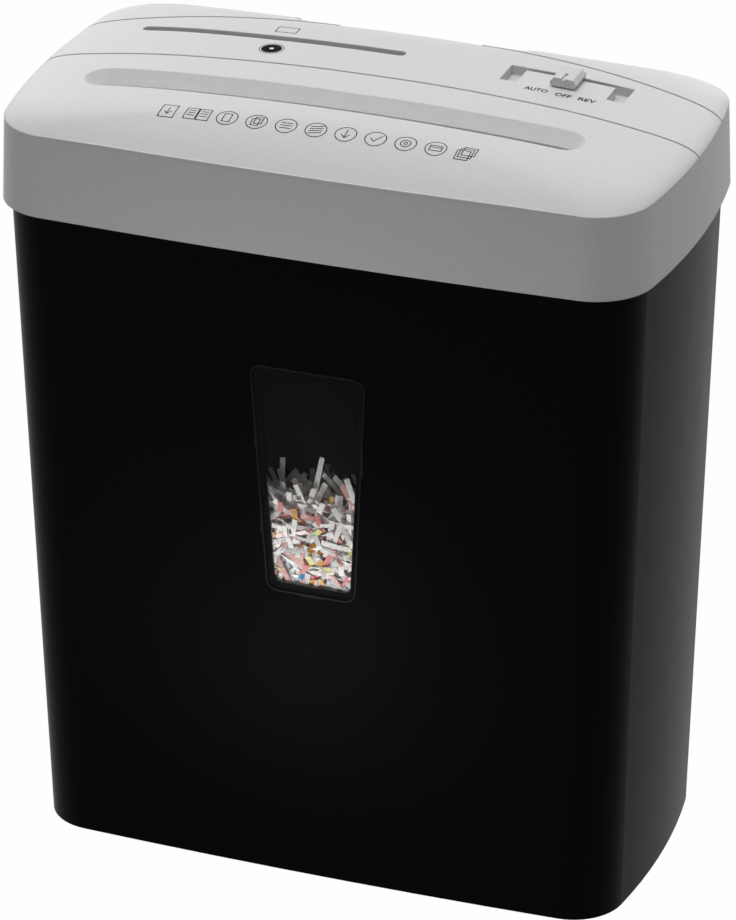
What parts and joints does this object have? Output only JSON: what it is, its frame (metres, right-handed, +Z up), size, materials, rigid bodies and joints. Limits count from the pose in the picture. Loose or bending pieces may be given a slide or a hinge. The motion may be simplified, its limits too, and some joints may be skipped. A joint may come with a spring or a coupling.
{
  "type": "paper shredder",
  "caption": "Desk-side paper shredder: tapered bin with a viewing window under a lift-off cutting head with a paper slot, a disc slot and a slide switch.",
  "frame": {"origin": "on the floor under the middle of the bin", "axes": "+X to the right seen from the front, +Y to the back, +Z up"},
  "size_m": [0.314, 0.1672, 0.3758],
  "materials": {
    "bin_black": "black satin moulded plastic",
    "head_grey": "light grey moulded plastic with a fine grain",
    "pan_black": "black moulded plastic",
    "clear": "clear moulded plastic",
    "shreds": "cut printed paper in mixed pale colours",
    "steel": "plated sheet steel",
    "dark_steel": "hardened steel, oiled",
    "bronze": "sintered bronze",
    "nylon": "natural nylon",
    "nylon_black": "black filled nylon",
    "board_green": "green circuit board",
    "switch_black": "black switch housing",
    "magnet": "dark ferrite",
    "knob_grey": "light grey plastic"
  },
  "bodies": {
    "bin": {"waste_bin": "bin_black", "viewing_window": "clear", "paper_shreds": "shreds"},
    "head": {"head_cover": "head_grey", "head_base": "pan_black", "cover_screws": "steel", "left_plate": "steel", "right_plate": "steel", "disc_plate": "steel", "tie_rods": "steel", "tie_nuts": "steel", "main_bushings": "bronze", "disc_bushings": "bronze", "front_comb": "nylon_black", "rear_comb": "nylon_black", "paper_chute": "pan_black", "motor_can": "steel", "motor_magnets": "magnet", "motor_end_cap": "nylon_black", "motor_screws": "steel", "gear_axles": "dark_steel", "axle_clips": "dark_steel", "gear_cover": "nylon_black", "control_board": "board_green", "board_parts": "switch_black", "mode_switch": "switch_black", "paper_switch": "switch_black", "safety_switch": "switch_black", "cord_gland": "pan_black"},
    "front_cutter_set": {"front_cutter": "dark_steel", "front_sync_gear": "dark_steel"},
    "rear_cutter_set": {"rear_cutter": "dark_steel", "rear_sync_gear": "dark_steel", "final_gear": "nylon", "transfer_gear": "nylon"},
    "disc_front_set": {"disc_front_cutter": "dark_steel", "disc_front_gear": "dark_steel", "transfer_driven_gear": "nylon"},
    "disc_rear_set": {"disc_rear_cutter": "dark_steel", "disc_rear_gear": "dark_steel"},
    "second_gear_set": {"second_gear": "nylon"},
    "first_gear_set": {"first_gear": "nylon"},
    "rotor_set": {"motor_rotor": "dark_steel", "motor_pinion": "dark_steel", "cooling_fan": "nylon_black"},
    "knob": {"mode_knob": "knob_grey"},
    "lever": {"sensor_lever": "nylon_black"},
    "plunger": {"safety_plunger": "nylon"}
  },
  "joints": [
    {"name": "head_lift", "type": "slide", "parent": "bin", "child": "head", "axis": [0, 0, 1], "range_m": [0, 0.12]},
    {"name": "motor_spin", "type": "hinge", "parent": "head", "child": "rotor_set", "pos_m": [0.07, 0.044, 0.333], "axis": [1, 0, 0], "continuous": true},
    {"name": "first_gear_spin", "type": "hinge", "parent": "head", "child": "first_gear_set", "pos_m": [0.12, 0.0292, 0.311], "axis": [1, 0, 0], "continuous": true},
    {"name": "second_gear_spin", "type": "hinge", "parent": "head", "child": "second_gear_set", "pos_m": [0.12, 0.016, 0.3337], "axis": [1, 0, 0], "continuous": true},
    {"name": "rear_cutter_spin", "type": "hinge", "parent": "head", "child": "rear_cutter_set", "pos_m": [-0.007, -0.0113, 0.318], "axis": [1, 0, 0], "continuous": true},
    {"name": "front_cutter_spin", "type": "hinge", "parent": "head", "child": "front_cutter_set", "pos_m": [-0.007, -0.0433, 0.318], "axis": [1, 0, 0], "continuous": true},
    {"name": "disc_front_spin", "type": "hinge", "parent": "head", "child": "disc_front_set", "pos_m": [-0.057, 0.0218, 0.3238], "axis": [1, 0, 0], "continuous": true},
    {"name": "disc_rear_spin", "type": "hinge", "parent": "head", "child": "disc_rear_set", "pos_m": [-0.057, 0.0418, 0.3238], "axis": [1, 0, 0], "continuous": true},
    {"name": "mode_slide", "type": "slide", "parent": "head", "child": "knob", "axis": [0.9983, 0, -0.0575], "range_m": [-0.012, 0.012]},
    {"name": "sensor_swing", "type": "hinge", "parent": "head", "child": "lever", "pos_m": [-0.007, -0.0175, 0.3445], "axis": [1, 0, 0], "range_deg": [0, 25], "stiffness_Nm_per_rad": 0.01, "springref_deg": -11.46},
    {"name": "plunger_slide", "type": "slide", "parent": "head", "child": "plunger", "axis": [0, 0, 1], "range_m": [-0.003, 0]}
  ],
  "couplings": [
    {"joint": "first_gear_spin", "follows": "motor_spin", "ratio": -0.3},
    {"joint": "second_gear_spin", "follows": "motor_spin", "ratio": 0.1125},
    {"joint": "rear_cutter_spin", "follows": "motor_spin", "ratio": -0.045},
    {"joint": "front_cutter_spin", "follows": "motor_spin", "ratio": 0.045},
    {"joint": "disc_front_spin", "follows": "motor_spin", "ratio": 0.040909},
    {"joint": "disc_rear_spin", "follows": "motor_spin", "ratio": -0.040909},
    {"joint": "plunger_slide", "follows": "head_lift", "ratio": -0.025}
  ]
}
